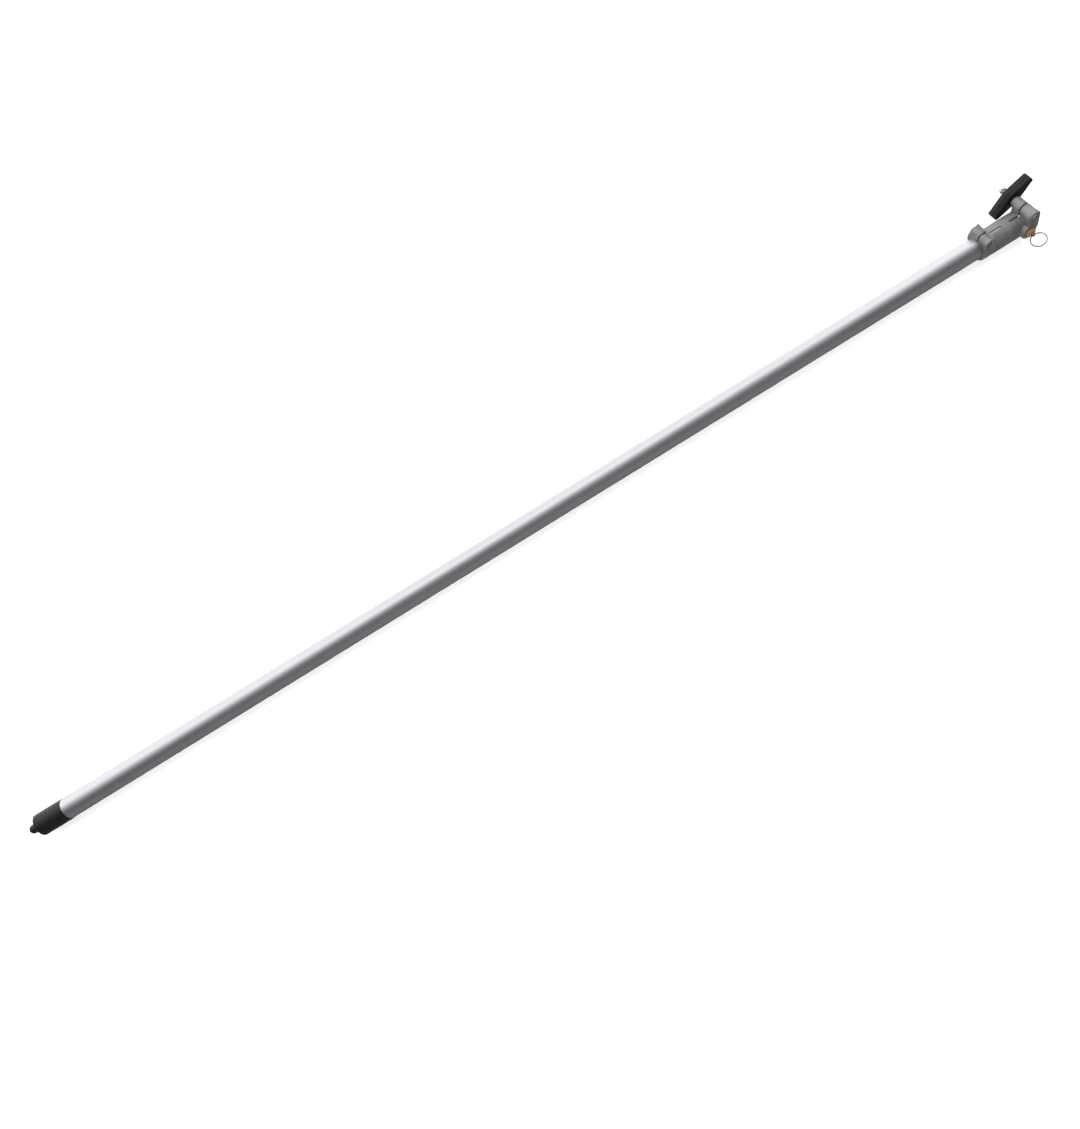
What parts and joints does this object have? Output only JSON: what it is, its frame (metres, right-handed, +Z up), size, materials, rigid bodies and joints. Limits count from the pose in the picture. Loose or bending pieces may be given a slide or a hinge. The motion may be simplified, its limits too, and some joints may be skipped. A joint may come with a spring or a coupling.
{
  "type": "telescopic window cleaning pole section",
  "caption": "Section of a telescopic window cleaning pole: a metal tube with a ribbed rubber cap and a cast clamp collar with a wing knob and a spring pull pin.",
  "frame": {"origin": "on the tube's axis, in the middle of the collar's bore that grips the next section", "axes": "+X along the pole from the capped end to the collar's open end, +Z up with the pole lying on a floor, rolled so that the collar's ears lean towards +Y"},
  "size_m": [1.8705, 0.1132, 0.0698],
  "materials": {
    "silver_tube": "satin, drawn",
    "black_rubber": "semi-matte",
    "cast_metal": "raw sand cast",
    "zinc_steel": "bright zinc plate",
    "black_plastic": "satin moulded",
    "brass": "turned",
    "bright_steel": "bright nickel plate"
  },
  "bodies": {
    "pole": {"outer_tube": "silver_tube", "end_cap": "black_rubber", "clamp_body": "cast_metal", "clamp_bolt": "zinc_steel", "stop_nut": "zinc_steel", "lower_screw": "zinc_steel", "lower_nut": "zinc_steel", "plunger_body": "brass", "plunger_bush": "brass", "pin_spring": "bright_steel"},
    "washer": {"knob_washer": "zinc_steel"},
    "knob": {"wing_knob": "black_plastic", "knob_insert": "brass"},
    "pin": {"pull_pin": "bright_steel"},
    "ring": {"split_ring": "bright_steel"}
  },
  "joints": [
    {"name": "knob_advance", "type": "slide", "parent": "pole", "child": "washer", "axis": [0, 0.891, -0.454], "range_m": [0, 0.008]},
    {"name": "knob_turn", "type": "hinge", "parent": "washer", "child": "knob", "pos_m": [0.01875, 0.02984, 0.01847], "axis": [0, 0.891, -0.454], "range_deg": [0, 2880]},
    {"name": "pin_pull", "type": "slide", "parent": "pole", "child": "pin", "axis": [0, -0.891, 0.454], "range_m": [0, 0.0055], "stiffness_N_per_m": 1500, "springref_m": -0.0035, "deforming": ["pin_spring"]},
    {"name": "ring_swing", "type": "hinge", "parent": "pin", "child": "ring", "pos_m": [0.01695, -0.03056, 0.01557], "axis": [0.9703, 0.1098, 0.2156], "range_deg": [-90, 90]}
  ],
  "couplings": [
    {"joint": "knob_advance", "follows": "knob_turn", "m_per_rad": 0.00015915}
  ]
}
